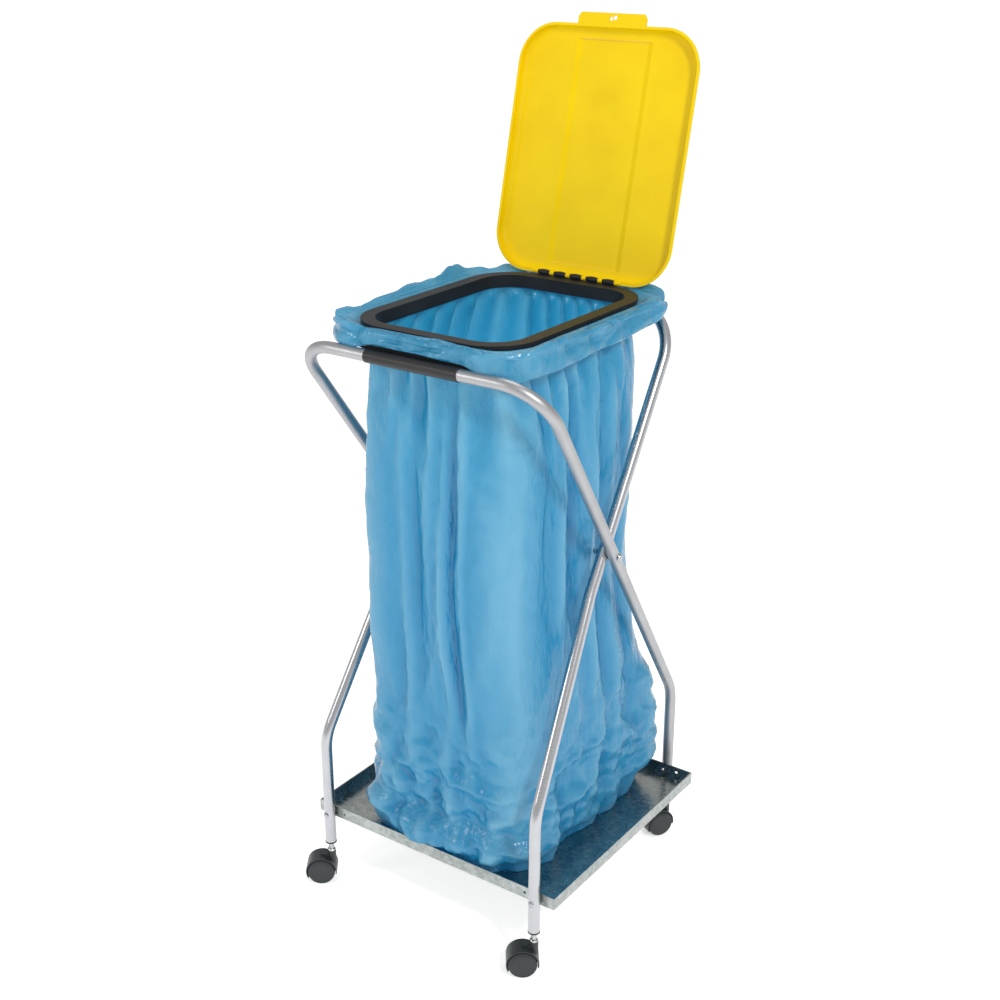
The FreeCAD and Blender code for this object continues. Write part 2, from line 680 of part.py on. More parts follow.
def dish(name, inset, low):
    """The lid's hollow form, closed over the mouth: a rounded box with a raised long panel."""
    body = new_body(name)
    base = new_sketch(body, XY, name + "_plan", low)
    reach = dim["lid_length"] - lip_width
    round_rect(base, dim["lid_half"] - lip_width - inset, -reach + inset,
               Size.of(rim_back - lip_width - inset), dim["lid_radius"] - lip_width - inset)
    height = dim["lid_height"] - dim["lid_panel_rise"] - inset + rim_low - low
    block = pad(body, base, height, name + "_block")
    doc.recompute()
    top = height.value + low
    rim_edges = [f"Edge{i}" for i, edge in enumerate(body.Shape.Edges, start=1)
                 if abs(edge.BoundBox.ZMin - top) < 0.1 and abs(edge.BoundBox.ZMax - top) < 0.1]
    soften = body.newObject("PartDesign::Fillet", name + "_shoulder")
    soften.Base = (block, rim_edges)
    soften.Radius = shoulder_radius - inset
    doc.recompute()
    panel = new_sketch(body, XZ, name + "_panel", dim["lid_length"] / 2 - 2.0)
    side = dim["lid_panel_half"] - inset
    crest = dim["lid_height"] + rim_low - inset
    base = crest - dim["lid_panel_rise"]
    polygon(panel, [(-side - panel_slope, base), (-side - panel_slope, base - 1.0),
                    (side + panel_slope, base - 1.0), (side + panel_slope, base),
                    (side, crest), (-side, crest)])
    ends = 2 * (lip_width + shoulder_radius + 1.0)
    pad(body, panel, dim["lid_length"] - ends, name + "_rise", through=True)
    doc.recompute()
    return body


shell = without("lid_shell", dish("lid_outer", 0.0, rim_low),
                dish("lid_inner", num("lid_wall"), rim_low - 1.0))
rim_plan = (dim["lid_half"], -dim["lid_length"], Size.of(rim_back), dim["lid_radius"])
rim = plate_ring("lid_rim", rim_plan, around(rim_plan, -(lip_width + 0.6 * num("lid_wall"))),
                 rim_low, rim_low + 2.2)
tab_body = new_body("tab")
tab_sheet = 2.6
tab_reach = 19.0
tab_plan = new_sketch(tab_body, XY, "tab_plan", rim_low)
tab_half = dim["lid_panel_half"]
polygon(tab_plan, [(-tab_half, -dim["lid_length"] + 2.6), (-tab_half, -dim["lid_length"] - 12.0),
                   (-tab_half + 5.0, -dim["lid_length"] - tab_reach),
                   (tab_half - 5.0, -dim["lid_length"] - tab_reach),
                   (tab_half, -dim["lid_length"] - 12.0), (tab_half, -dim["lid_length"] + 2.6)])
pad(tab_body, tab_plan, tab_sheet, "tab_pad")
doc.recompute()
tab_holes = new_sketch(tab_body, XY, "tab_holes_first", rim_low)
circle(tab_holes, 3.4, -2.0, -dim["lid_length"] - 9.5)
pocket(tab_body, tab_holes, 4 * tab_sheet, "tab_hole_first", through=True)
tab_holes_next = new_sketch(tab_body, XY, "tab_holes_next", rim_low)
circle(tab_holes_next, 3.9, 5.4, -dim["lid_length"] - 11.5)
pocket(tab_body, tab_holes_next, 4 * tab_sheet, "tab_hole_next", through=True)
barrel = turned("lid_barrel", [(0, -lug_reach), (dim["barrel_radius"], -lug_reach),
                               (dim["barrel_radius"], lug_reach), (0, lug_reach)])
barrel.Placement = along((1, 0, 0), (0, 0, 0))
lid_block = joined("lid_block", [shell, rim, tab_body, barrel])
knuckle_room = 0.45
cutters = [rod("lid_pin_bore", dim["hinge_pin_dia"] / 2 + pin_clearance, 2 * lug_reach + 4,
               along((1, 0, 0), (-lug_reach - 2, 0, 0)))]
for i, spot in enumerate(knuckle_spots):
    cutter = knuckle(f"lid_scallop_{i}", spot, knuckle_room)
    cutter.Placement = along((1, 0, 0), (spot, 0, 0))
    cutters.append(cutter)
lid_shape = without("lid_shape", lid_block, joined("lid_cutters", cutters))
node(lid_shape, "lid", Placement(Vector(0, num("hinge_back"), num("hinge_height")),
                                 Rotation(Vector(1, 0, 0), -num("lid_open"))))

# ---------------------------------------------------------------- sack
neck_in = around(mouth, 3.0)
neck_out = around(neck_in, dim["film"])
bead_out = around(collar_out, 0.6 + num("film"))
cuff_plan = (dim["cuff_half"], dim["cuff_front"], dim["cuff_back"], Size.of(50.0))
cuff_in = (dim["holder_half"] + 0.5, dim["holder_front"] - 0.5,
           dim["back_bar_back"] + dim["tube_od"] / 2 + 3.6, Size.of(44.0))
film_low = dim["holder_top"] + 0.5
body_top = wall_foot - 3.0
SACK_FORM = [
    # height, half width, front, back, corner radius
    (body_top.value, neck_out[0].value, neck_out[1].value, neck_out[2].value,
     neck_out[3].value),
    (1000.0, 158.0, -238.0, 166.0, 74.0),
    (900.0, 172.0, -240.0, 168.0, 86.0),
    (780.0, 173.0, -238.0, 170.0, 90.0),
    (660.0, 165.0, -232.0, 172.0, 90.0),
    (520.0, 176.0, -236.0, 184.0, 92.0),
    (380.0, 182.0, -236.0, 198.0, 92.0),
    (240.0, 186.0, -236.0, 206.0, 92.0),
    (tray_floor.value + num("tray_sheet") + 12.0, 184.0, -236.0, 206.0, 90.0),
    (tray_floor.value + num("tray_sheet"), 170.0, -224.0, 192.0, 84.0),
]


def sack_loft(name, inset, lift):
    """A smooth solid through the sack's cross-sections, drawn in by the wall's thickness."""
    sections = []
    for i, (height, half, front, back, radius) in enumerate(SACK_FORM):
        sk = doc.addObject("Sketcher::SketchObject", f"{name}_section_{i}")
        last = i == len(SACK_FORM) - 1
        sk.Placement = Placement(Vector(0, 0, height + (lift if last else 0)), Rotation())
        round_rect(sk, half - inset, front + inset, back - inset, radius - inset)
        sections.append(sk)
    loft = doc.addObject("Part::Loft", name)
    loft.Sections = sections
    loft.Solid = True
    loft.Ruled = False
    return loft


inner_loft = sack_loft("sack_inner", num("sack_wall"), num("sack_wall"))
sack_body = without("sack_body", sack_loft("sack_outer", 0.0, 0.0), inner_loft)
sack_parts = [
    sack_body,
    plate_ring("sack_neck", neck_out, neck_in, body_top - 2.0, dim["collar_top"] + 1.6),
    plate_ring("sack_bead", bead_out, neck_in, dim["collar_top"] + 0.6, dim["collar_top"] + 1.6),
    plate_ring("sack_drop", bead_out, around(bead_out, -num("film")), film_low,
               dim["collar_top"] + 1.6),
    plate_ring("sack_shelf", around(cuff_in, 2.0), around(bead_out, -num("film")), film_low,
               dim["cuff_top"]),
    plate_ring("sack_cuff", cuff_plan, cuff_in, dim["cuff_foot"], dim["cuff_top"]),
]
node(joined("sack_shape", sack_parts), "sack")

# ---------------------------------------------------------------- casters
wheel_axis = dim["wheel_radius"]
half_gap = dim["wheel_gap"] / 2
axle_end = half_gap + dim["wheel_width"] - 3.0
CASTERS = [
    # name, foot half, foot back, side, heading of the trail at rest
    ("front_left", "front_foot_half", "front_foot_front", -1, 216.0),
    ("front_right", "front_foot_half", "front_foot_front", 1, 216.0),
    ("back_left", "rear_foot_half", "rear_foot_back", -1, 228.0),
    ("back_right", "rear_foot_half", "rear_foot_back", 1, 240.0),
]


def wheel(name):
    """One wheel about local Z, inner face at Z = 0, with a dished outer face."""
    r, w = dim["wheel_radius"], dim["wheel_width"]
    body = new_body(name)
    sk = new_sketch(body, XZ, name + "_profile")
    polygon(sk, [(dim["axle_dia"] / 2 + 0.05, 0), (r * 0.6, 0), (r * 0.66, 1.0), (r - 1.4, 1.0),
                 (r, 2.4), (r, w - 3.2), (r - 0.9, w - 1.2), (r - 2.6, w - 0.4),
                 (r - 3.4, w - 0.9), (r - 4.4, w - 0.9), (r - 5.4, w - 0.3), (r * 0.5, w),
                 (0, w), (0, w - 2.0), (dim["axle_dia"] / 2 + 0.05, w - 2.0)])
    revolve(body, sk, name + "_turn")
    return body


def hood(name):
    """The cowl over both wheels, with the web between them and the boss for the stem."""
    r, wall = dim["hood_radius"], dim["hood_wall"]
    trail, axis = num("caster_trail"), num("wheel_radius")
    cowl_half = half_gap + dim["wheel_width"] - 2.5
    side = Placement(Vector(trail, -cowl_half.value, axis), Rotation(Vector(1, 0, 0), -90))
    shell_out = rod(name + "_cowl_out", r, cowl_half * 2, side)
    boss = rod(name + "_boss", 8.0, dim["hood_top"] - 30.0,
               Placement(Vector(0, 0, 30), Rotation()))
    crown = doc.addObject("Part::Box", name + "_shoulder")
    crown.Length, crown.Width, crown.Height = 20.0, 12.0, 22.0
    crown.Placement.Base = Vector(0, -6.0, 34.0)
    full = joined(name + "_full", [shell_out, boss, crown])
    room = (r - wall).value
    gap = num("wheel_gap") / 2 - 0.5
    rooms = []
    for turn, start in ((-90, gap), (90, -gap)):
        rooms.append(rod(f"{name}_room_{'a' if turn < 0 else 'b'}", room, 40.0,
                         Placement(Vector(trail, start, axis), Rotation(Vector(1, 0, 0), turn))))
    below = doc.addObject("Part::Box", name + "_below")
    below.Length, below.Width, below.Height = 90.0, 60.0, 40.0
    below.Placement = Placement(Vector(-26.0, -30.0, -18.0), Rotation(Vector(0, 1, 0), 8.0))
    bores = [rod(name + "_stem_bore", dim["stem_dia"] / 2, 40.0,
                 Placement(Vector(0, 0, 46.0), Rotation()))]
    opened = without(name + "_open", full, joined(name + "_rooms", rooms + [below]))
    hub = rod(name + "_hub", 7.0, 2 * gap,
              Placement(Vector(trail, -gap, axis), Rotation(Vector(1, 0, 0), -90)))
    strut = doc.addObject("Part::Box", name + "_strut")
    strut.Length, strut.Width, strut.Height = 12.0, 2 * gap, 14.0
    strut.Placement.Base = Vector(trail - 6.0, -gap, axis)
    bores.append(rod(name + "_axle_bore", dim["axle_dia"] / 2, 30.0,
                     Placement(Vector(trail, -15.0, axis), Rotation(Vector(1, 0, 0), -90))))
    whole = joined(name + "_whole", [opened, hub, strut])
    return without(name + "_shape", whole, joined(name + "_bores", bores))


stem_low = 46.0
stem_high = num("tube_end") + 34.0
socket_flange = 3.5
for caster, foot, back, side, heading in CASTERS:
    spot = Vector(side * num(foot), num(back), 0)
    swivel = Placement(spot, Rotation(Vector(0, 0, 1), heading))
    tube_in = dim["tube_od"] / 2 - dim["tube_wall"]
    stem_r = dim["stem_dia"] / 2
    flange_low = dim["tube_end"] - socket_flange
    socket = turned(f"{caster}_socket_piece",
                    [(stem_r + 0.05, flange_low), (tube_in + 0.6, flange_low),
                     (dim["tube_od"] / 2 + 0.4, flange_low + 1.0),
                     (dim["tube_od"] / 2 + 0.4, dim["tube_end"]), (tube_in, dim["tube_end"]),
                     (tube_in, dim["tube_end"] + 36.0), (stem_r + 0.05, dim["tube_end"] + 36.0)])
    node(socket, f"{caster}_socket", Placement(spot, Rotation()))
    stem = turned(f"{caster}_stem_piece",
                  [(0, stem_low), (stem_r, stem_low), (stem_r, dim["hood_top"]),
                   (stem_r + 1.8, dim["hood_top"]), (stem_r + 2.4, dim["hood_top"] + 1.0),
                   (stem_r + 2.4, dim["hood_top"] + 3.4), (stem_r + 1.4, dim["hood_top"] + 4.6),
                   (stem_r, dim["hood_top"] + 5.2), (stem_r, stem_high - 2.0),
                   (stem_r - 1.5, stem_high), (0, stem_high)])
    node(stem, f"{caster}_stem", swivel)
    node(hood(f"{caster}_hood_piece"), f"{caster}_hood", swivel)
    hub_place = Placement(Vector(num("caster_trail"), 0, num("wheel_radius")),
                          Rotation(Vector(1, 0, 0), -90))
    axle = turned(f"{caster}_axle_piece",
                  [(0, -axle_end), (dim["axle_dia"] / 2, -axle_end),
                   (dim["axle_dia"] / 2, axle_end), (0, axle_end)])
    node(axle, f"{caster}_axle", swivel * hub_place)
    for letter, turn in (("a", -90), ("b", 90)):
        sign = 1 if turn < 0 else -1
        seat = Placement(Vector(num("caster_trail"), sign * half_gap.value, num("wheel_radius")),
                         Rotation(Vector(1, 0, 0), turn))
        node(wheel(f"{caster}_wheel_{letter}_piece"), f"{caster}_wheel_{letter}", swivel * seat)

# ---------------------------------------------------------------- check and write
doc.recompute()
for thing in doc.Objects:
    if "Invalid" in thing.State or "Error" in thing.State:
        raise RuntimeError(f"{thing.Name} is {thing.State}")
for thing in nodes:
    if thing.Shape.isNull() or not thing.Shape.isValid():
        raise RuntimeError(f"{thing.Label} has no valid shape")
os.makedirs("parts", exist_ok=True)
for thing in nodes:
    thing.Shape.exportStep(os.path.join("parts", thing.Label + ".step"))
    box = thing.Shape.BoundBox
    print(f"{thing.Label:22s} solids {len(thing.Shape.Solids)} volume {thing.Shape.Volume:10.1f} "
          f"x {box.XMin:7.1f}..{box.XMax:7.1f} y {box.YMin:7.1f}..{box.YMax:7.1f} "
          f"z {box.ZMin:7.1f}..{box.ZMax:7.1f}")
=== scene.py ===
# %% [markdown]
# # A waste sack stand, dressed for its portrait
# The stand is two crossed steel tubes with a tray on casters below and a plastic sack above.
# Its hard pieces come finished in shape from the design file, so most of this lesson is about
# surfaces: plated tube, galvanised sheet, moulded plastic. The sack is the one soft piece, and
# it is modelled here, because a film only looks like film when it has folds.

# %% Load the frame
from math import cos, pi, radians, sin

import bpy
import numpy as np
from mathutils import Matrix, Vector, noise


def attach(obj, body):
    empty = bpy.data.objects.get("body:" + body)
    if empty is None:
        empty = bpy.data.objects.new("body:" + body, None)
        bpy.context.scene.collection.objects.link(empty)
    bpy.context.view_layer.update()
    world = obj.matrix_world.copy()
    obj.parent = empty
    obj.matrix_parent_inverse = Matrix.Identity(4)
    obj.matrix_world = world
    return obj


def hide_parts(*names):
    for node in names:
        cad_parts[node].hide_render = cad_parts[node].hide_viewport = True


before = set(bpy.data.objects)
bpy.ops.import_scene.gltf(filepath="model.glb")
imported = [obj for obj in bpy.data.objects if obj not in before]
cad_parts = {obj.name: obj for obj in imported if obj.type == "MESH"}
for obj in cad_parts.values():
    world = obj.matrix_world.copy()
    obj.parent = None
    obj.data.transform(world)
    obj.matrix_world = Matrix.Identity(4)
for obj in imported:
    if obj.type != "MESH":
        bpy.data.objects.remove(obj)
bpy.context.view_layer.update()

# %% [markdown]
# Paint makers and image editors give colours as hex numbers, which are stored bent to suit the
# eye. A renderer adds up light, so it wants them straight. One function does that, and every
# colour below goes through it.

# %% A colour from its hex number
def colour(hex_code, alpha=1.0):
    """The linear RGBA of an sRGB colour such as '#ECCB05'."""
    parts = [int(hex_code[i:i + 2], 16) / 255 for i in (1, 3, 5)]
    straight = [c / 12.92 if c <= 0.04045 else ((c + 0.055) / 1.055) ** 2.4 for c in parts]
    return (*straight, alpha)


print("zinc grey is", [round(c, 3) for c in colour("#B4B5B6")])

# %% [markdown]
# A material is a small graph of nodes. Adding one by hand means making it, setting a few
# sockets and joining it to its neighbours, so one function does those three things. A second
# starts a material with the usual shader, its output and the object's own coordinates, in
# which one unit is a metre: a pattern 5 mm wide repeats 200 times a unit.

# %% Node helpers
def add(tree, kind, values=(), links=(), **settings):
    """A node with its settings, its socket values and the sockets that feed it."""
    made = tree.nodes.new(kind)
    for key, value in settings.items():
        setattr(made, key, value)
    for key, value in dict(values).items():
        made.inputs[key].default_value = value
    for key, source in dict(links).items():
        tree.links.new(source, made.inputs[key])
    return made


def start_material(name, **values):
    """A new material: its tree, its main shader and the object's coordinates."""
    mat = bpy.data.materials.new(name)
    mat.use_nodes = True
    tree = mat.node_tree
    tree.nodes.clear()
    sockets = {key.replace("_", " "): value for key, value in values.items()}
    shader = add(tree, "ShaderNodeBsdfPrincipled", sockets)
    output = add(tree, "ShaderNodeOutputMaterial", links={"Surface": shader.outputs[0]})
    place = add(tree, "ShaderNodeTexCoord").outputs["Object"]
    return mat, tree, shader, output, place


def spread(tree, source, stops):
    """A colour ramp through (position, colour) stops, or through plain grey levels."""
    ramp = add(tree, "ShaderNodeValToRGB", links={"Fac": source})
    while len(ramp.color_ramp.elements) < len(stops):
        ramp.color_ramp.elements.new(0.5)
    for element, (position, value) in zip(ramp.color_ramp.elements, stops):
        element.position = position
        element.color = value if hasattr(value, "__len__") else (value, value, value, 1.0)
    return ramp.outputs["Color"]


def per_mm(size):
    """The texture scale that makes a pattern repeat every so many millimetres."""
    return 1000.0 / size


print("a 5 mm pattern has scale", per_mm(5))

# %% [markdown]
# Steel tube for such a stand is drawn, bent, and plated with zinc. The plating is smooth but
# not mirror bright, and drawing leaves faint lines along the tube. The lines are finer than a
# picture can show, so they are drawn about 1.5 mm wide as a soft change in roughness. The
# push frame is handled and dulled, and the back frame keeps more of its shine.

# %% Zinc-plated tube
def zinc_tube(name, tint, dark, dull):
    """Plated steel, clouded between two greys, with fine streaks about the given roughness."""
    mat, tree, shader, output, place = start_material(name, Metallic=1.0)
    cloud = add(tree, "ShaderNodeTexNoise", {"Scale": per_mm(45), "Detail": 3.0}, {"Vector": place})
    tree.links.new(spread(tree, cloud.outputs["Fac"], [(0.3, colour(dark)), (0.7, colour(tint))]),
                   shader.inputs["Base Color"])
    streak = add(tree, "ShaderNodeTexNoise", {"Scale": per_mm(1.5), "Detail": 2.0},
                 {"Vector": place})
    tree.links.new(spread(tree, streak.outputs["Fac"], [(0.25, dull - 0.05), (0.8, dull + 0.09)]),
                   shader.inputs["Roughness"])
    bump = add(tree, "ShaderNodeBump", {"Strength": 0.04, "Distance": 0.0002},
               {"Height": streak.outputs["Fac"]})
    tree.links.new(bump.outputs[0], shader.inputs["Normal"])
    return mat


push_tube = zinc_tube("zinc_plated_tube_satin", "#B6B6B8", "#ACACAE", 0.42)
back_tube = zinc_tube("zinc_plated_tube_bright", "#C0C1C4", "#B8B9BC", 0.25)
bright_plate = zinc_tube("zinc_plated_hardware", "#BEBEBE", "#AEAEAE", 0.20)
print("made", push_tube.name, back_tube.name, bright_plate.name)

# %% [markdown]
# The tray is galvanised sheet. Hot zinc freezes into crystals called spangle, a few
# millimetres across on thin sheet, each a slightly different grey and shine. A Voronoi
# pattern, which splits space into cells, is the natural way to draw crystals.

# %% Galvanised sheet
def galvanised_sheet():
    """Sheet steel whose crystals differ a little in grey and in shine."""
    mat, tree, shader, output, place = start_material("galvanised_sheet_steel", Metallic=1.0)
    crystal = add(tree, "ShaderNodeTexVoronoi", {"Scale": per_mm(7)}, {"Vector": place})
    level = add(tree, "ShaderNodeSeparateColor", links={"Color": crystal.outputs["Color"]})
    smear = add(tree, "ShaderNodeTexNoise", {"Scale": per_mm(60), "Detail": 5.0},
                {"Vector": place})
    both = add(tree, "ShaderNodeMix", {0: 0.35}, {2: smear.outputs["Fac"], 3: level.outputs[0]})
    tree.links.new(spread(tree, both.outputs[0],
                          [(0.25, colour("#8D9391")), (0.75, colour("#B3B7B4"))]),
                   shader.inputs["Base Color"])
    tree.links.new(spread(tree, both.outputs[0], [(0.2, 0.18), (0.8, 0.32)]),
                   shader.inputs["Roughness"])
    return mat


tray_sheet = galvanised_sheet()
print("made", tray_sheet.name)

# %% [markdown]
# Lid, ring, casters and sleeve are injection-moulded plastic. The steel mould is lightly
# etched, so the plastic has a grain of well under a millimetre that breaks up its shine, and
# it also flows unevenly, which shows as very soft clouding. Polypropylene is slightly waxy
# and nylon is a little shinier. The grain is drawn 1 to 1.6 mm wide so that it
# shows at all, and the waxy lid is given a weak shine.

# %% Moulded plastic
def moulded(name, light, dark, dull, grain, depth, shine=0.5):
    """Plastic from a lightly etched mould; grain is in millimetres."""
    mat, tree, shader, output, place = start_material(name, IOR=1.49,
                                                      Specular_IOR_Level=shine)
    cloud = add(tree, "ShaderNodeTexNoise", {"Scale": per_mm(80), "Detail": 4.0},
                {"Vector": place})
    tree.links.new(spread(tree, cloud.outputs["Fac"], [(0.3, colour(dark)), (0.7, colour(light))]),
                   shader.inputs["Base Color"])
    etch = add(tree, "ShaderNodeTexNoise", {"Scale": per_mm(grain), "Detail": 2.0},
               {"Vector": place})
    tree.links.new(spread(tree, etch.outputs["Fac"], [(0.3, dull - 0.06), (0.7, dull + 0.08)]),
                   shader.inputs["Roughness"])
    bump = add(tree, "ShaderNodeBump", {"Strength": depth, "Distance": 0.0004},
               {"Height": etch.outputs["Fac"]})
    tree.links.new(bump.outputs[0], shader.inputs["Normal"])
    return mat


lid_plastic = moulded("polypropylene_yellow_moulded", "#EDCB00", "#E5C100", 0.42, 1.6, 0.10, 0.14)
ring_plastic = moulded("polypropylene_black_moulded", "#232427", "#18191B", 0.52, 1.2, 0.12,
                       0.3)
caster_plastic = moulded("nylon_dark_grey_moulded", "#2B3032", "#22272A", 0.40, 1.2, 0.12)
sleeve_vinyl = moulded("vinyl_sleeve_black", "#1C1C1E", "#121214", 0.45, 0.9, 0.20)
print("made", lid_plastic.name, ring_plastic.name, caster_plastic.name, sleeve_vinyl.name)

# %% [markdown]
# Each design piece takes the finish of what it is made of. The pieces keep their shapes and
# only their material slot changes.

# %% Dress the design pieces
casters = ["front_left", "front_right", "back_left", "back_right"]
dress = {
    push_tube: ["push_frame"],
    back_tube: ["back_frame"],
    bright_plate: ["pivot_bolts", "pivot_nuts", "pivot_washers", "tray_bolts", "tray_nuts",
                   "holder_screws", "hinge_pin"]
                  + [f"{c}_{part}" for c in casters for part in ("stem", "axle")],
    tray_sheet: ["tray"],
    lid_plastic: ["lid"],
    ring_plastic: ["clamp_ring", "sack_holder", "back_bar_clips"]
                  + [f"{c}_socket" for c in casters],
    caster_plastic: [f"{c}_{part}" for c in casters for part in ("hood", "wheel_a", "wheel_b")],
    sleeve_vinyl: ["push_bar_sleeve"],
}
for mat, names in dress.items():
    for name in names:
        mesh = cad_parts[name].data
        mesh.materials.clear()
        mesh.materials.append(mat)
print("dressed", sum(len(names) for names in dress.values()), "pieces")

# %% [markdown]
# The sack is one sheet of film, so it is one surface. It starts at the hem of the cuff, goes
# up and in over the holder, dips between collar and ring, and drops to the tray. Every level
# is a rounded rectangle, walked round in the same shares: front, corner, right side, corner,
# back, corner, left side, corner. Points with the same share then line up from top to bottom,
# and a fold is a push in or out that follows one share down the sack.

# %% One level of the sack
SHARES = [0.16, 0.07, 0.20, 0.07, 0.16, 0.07, 0.20, 0.07]
BOUNDS = np.concatenate([[0.0], np.cumsum(SHARES)])


def level(u, left, right, front, back, radius):
    """Points and outward directions of a rounded rectangle at the shares u, in metres."""
    corners = [(right - radius, front + radius, -90), (right - radius, back - radius, 0),
               (left + radius, back - radius, 90), (left + radius, front + radius, 180)]
    runs = [((left + radius, front), (right - radius, front), (0, -1)),
            ((right, front + radius), (right, back - radius), (1, 0)),
            ((right - radius, back), (left + radius, back), (0, 1)),
            ((left, back - radius), (left, front + radius), (-1, 0))]
    points = np.zeros((len(u), 2))
    outward = np.zeros((len(u), 2))
    for k in range(4):
        side = (u >= BOUNDS[2 * k]) & (u < BOUNDS[2 * k + 1])
        t = ((u[side] - BOUNDS[2 * k]) / SHARES[2 * k])[:, None]
        a, b, n = (np.array(v, float) for v in runs[k])
        points[side] = a + (b - a) * t
        outward[side] = n
        bend = (u >= BOUNDS[2 * k + 1]) & (u <= BOUNDS[2 * k + 2])
        cx, cy, turn = corners[k]
        angle = np.radians(turn + 90 * (u[bend] - BOUNDS[2 * k + 1]) / SHARES[2 * k + 1])
        outward[bend] = np.stack([np.cos(angle), np.sin(angle)], 1)
        points[bend] = np.array([cx, cy]) + radius * outward[bend]
    return points, outward


columns = 370
u = np.arange(columns) / columns
mouth_half, mouth_front, mouth_back, mouth_radius = 0.138, -0.227, 0.162, 0.057
mouth, _ = level(u, -mouth_half, mouth_half, mouth_front, mouth_back, mouth_radius)
steps = np.linalg.norm(np.roll(mouth, -1, 0) - mouth, axis=1)
print("the mouth is", round(float(steps.sum()), 3), "m round")

# %% [markdown]
# Folds need a wander that joins up with itself after a full turn. Noise read on a circle does
# that: the share becomes a point on a circle and the height is the third direction. A pleat
# is a saw-tooth of such a wandering share, with its tips drawn thin, because gathered film
# makes narrow ridges and broad valleys. Crumpled film is flat facets that meet in sharp
# creases, like the gap between the nearest and second nearest of many scattered points.

# %% Noise that joins up, and pleats
def wander(share, height, across, along, seed):
    """Smooth noise from -1 to 1 with about across waves in a turn, and along waves a metre."""
    ring = across / (2 * pi)
    return np.array([noise.noise(Vector((ring * cos(2 * pi * a) + seed, ring * sin(2 * pi * a),
                                         h * along + 3.7 * seed))) * 1.6
                     for a, h in zip(share, height)])


def pleats(share, height, count, drift, sharp, seed):
    """Ridges from 0 to 1 that run down the sack and drift sideways as they go."""
    phase = count * share + drift * wander(share, height, count / 3, 1.6, seed)
    saw = 1 - np.abs(2 * (phase % 1.0) - 1)
    return saw ** sharp


turn_radius = 0.19


def creases(share, height, size, tall, seed):
    """Facets about size metres wide and tall times as high: 0 on a crease, near 1 between."""
    ring = turn_radius / size
    found = []
    for a, h in zip(share, height):
        spot = Vector((ring * cos(2 * pi * a), ring * sin(2 * pi * a), h / (size * tall) + seed))
        near = noise.voronoi(spot)[0]
        found.append(near[1] - near[0])
    return np.array(found)


def smooth(value, start, end):
    """0 before start, 1 after end, easing in between; start may be above end."""
    t = np.clip((value - start) / (end - start), 0, 1)
    return t * t * (3 - 2 * t)


print("three pleat heights", pleats(np.array([0.1, 0.2, 0.3]), np.zeros(3), 9, 0.6, 1.5, 1.0))

# %% [markdown]
# The body of the sack stands loosely full of air. Its levels say how wide it is at some
# heights, and a smooth curve goes through them. It is narrow where the ring holds it, slack
# in the middle, and widest near the tray, where it leans back and to the right.

# %% The body's levels
BODY = np.array([
    # height, left, right, front, back, corner radius
    (1.050, -0.1420, 0.1420, -0.2310, 0.1660, 0.061),
    (1.020, -0.1470, 0.1480, -0.2340, 0.1670, 0.066),
    (0.960, -0.1600, 0.1620, -0.2370, 0.1690, 0.078),
    (0.860, -0.1700, 0.1690, -0.2380, 0.1700, 0.086),
    (0.740, -0.1730, 0.1650, -0.2360, 0.1700, 0.088),
    (0.640, -0.1740, 0.1630, -0.2340, 0.1720, 0.088),
    (0.540, -0.1760, 0.1700, -0.2340, 0.1800, 0.088),
    (0.420, -0.1740, 0.1790, -0.2330, 0.1950, 0.084),
    (0.300, -0.1740, 0.1840, -0.2330, 0.2080, 0.080),
    (0.220, -0.1840, 0.1850, -0.2340, 0.2100, 0.078),
    (0.165, -0.1780, 0.1830, -0.2360, 0.2060, 0.076),
    (0.136, -0.1660, 0.1720, -0.2300, 0.1960, 0.074),
])


def size_at(height, column):
    """One column of the levels at a height, with a smooth curve through its values."""
    z, v = BODY[::-1, 0], BODY[::-1, column]
    slope = np.gradient(v, z)
    i = int(np.clip(np.searchsorted(z, height) - 1, 0, len(z) - 2))
    step = z[i + 1] - z[i]
    t = min(max((height - z[i]) / step, 0.0), 1.0)
    return ((2 * t**3 - 3 * t**2 + 1) * v[i] + (t**3 - 2 * t**2 + t) * step * slope[i]
            + (-2 * t**3 + 3 * t**2) * v[i + 1] + (t**3 - t**2) * step * slope[i + 1])


print("half way down the sack is", round(size_at(0.6, 2) - size_at(0.6, 1), 3), "m wide")

# %% [markdown]
# Several kinds of fold lie on top of each other. Gathers come from the ring and die out over
# a hand's width. Long soft pleats and creases run most of the way down. Some strong folds are
# placed one by one. Near the tray the film is slack: it crumples into facets that lie in all
# directions, its front spills forward over a tuck, and one rear corner stands out to a point.

# %% How far the film stands in or out
fold_size, fold_drift = 0.62, 0.010
STRONG = [
    # share, width, depth in metres, top, bottom
    (0.026, 0.011, 0.013, 1.00, 0.26), (0.050, 0.013, -0.012, 1.02, 0.34),
    (0.078, 0.010, 0.006, 1.00, 0.50), (0.104, 0.008, 0.010, 1.03, 0.34),
    (0.124, 0.009, -0.020, 1.04, 0.30), (0.146, 0.012, 0.012, 1.02, 0.26),
    (0.200, 0.013, 0.014, 1.04, 0.40), (0.232, 0.008, -0.010, 1.04, 0.60),
    (0.262, 0.010, 0.012, 1.04, 0.40), (0.298, 0.012, -0.026, 1.05, 0.48),
    (0.334, 0.011, 0.013, 1.04, 0.34), (0.362, 0.008, -0.010, 1.03, 0.24),
    (0.388, 0.009, 0.009, 1.04, 0.24), (0.420, 0.010, -0.010, 0.98, 0.22),
    (0.56, 0.014, -0.012, 1.04, 0.40), (0.62, 0.012, 0.010, 1.04, 0.50),
    (0.78, 0.012, -0.014, 1.04, 0.40), (0.86, 0.013, 0.012, 1.02, 0.35),
    (0.93, 0.012, -0.010, 1.03, 0.40), (0.975, 0.012, 0.009, 1.00, 0.30),
]


